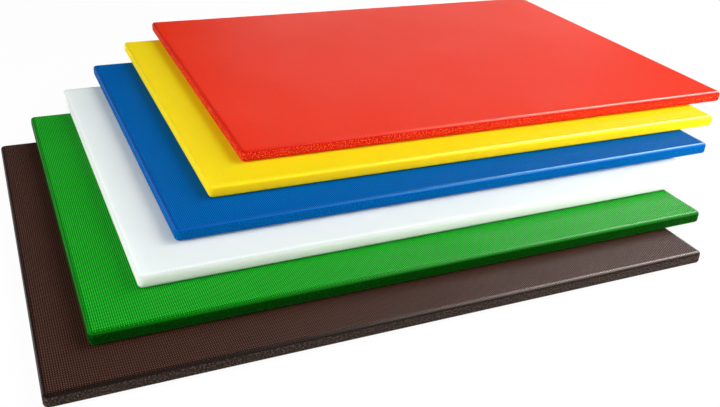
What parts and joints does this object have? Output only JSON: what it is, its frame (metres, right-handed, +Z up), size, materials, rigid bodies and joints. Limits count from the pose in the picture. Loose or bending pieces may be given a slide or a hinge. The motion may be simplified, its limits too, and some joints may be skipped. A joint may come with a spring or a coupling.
{
  "type": "cutting board set",
  "caption": "Stack of rectangular colour-coded plastic cutting boards with rounded edges and embossed faces, fanned out to the right and back; each board lifts off the one below.",
  "frame": {"origin": "centre of the lowest board's underside, on the surface that the stack rests on", "axes": "+X along the boards' length, to the right; +Y across their width, to the back; +Z up through the stack"},
  "size_m": [0.8294, 0.682, 0.0767],
  "materials": {
    "brown_plastic": "dark brown polyethylene, embossed faces, planed sides",
    "green_plastic": "green polyethylene, embossed faces, planed sides",
    "white_plastic": "natural white polyethylene, slightly translucent, embossed faces, planed sides",
    "blue_plastic": "blue polyethylene, embossed faces, planed sides",
    "yellow_plastic": "yellow polyethylene, embossed faces, planed sides",
    "red_plastic": "red polyethylene, embossed faces, planed sides"
  },
  "bodies": {
    "brown": {"brown_board": "brown_plastic"},
    "green": {"green_board": "green_plastic"},
    "white": {"white_board": "white_plastic"},
    "blue": {"blue_board": "blue_plastic"},
    "yellow": {"yellow_board": "yellow_plastic"},
    "red": {"red_board": "red_plastic"}
  },
  "joints": [
    {"name": "green_lift", "type": "slide", "parent": "brown", "child": "green", "axis": [0, 0, 1], "range_m": [0, 0.15]},
    {"name": "white_lift", "type": "slide", "parent": "green", "child": "white", "axis": [0, 0, 1], "range_m": [0, 0.15]},
    {"name": "blue_lift", "type": "slide", "parent": "white", "child": "blue", "axis": [0, 0, 1], "range_m": [0, 0.15]},
    {"name": "yellow_lift", "type": "slide", "parent": "blue", "child": "yellow", "axis": [0, 0, 1], "range_m": [0, 0.15]},
    {"name": "red_lift", "type": "slide", "parent": "yellow", "child": "red", "axis": [0, 0, 1], "range_m": [0, 0.15]}
  ]
}
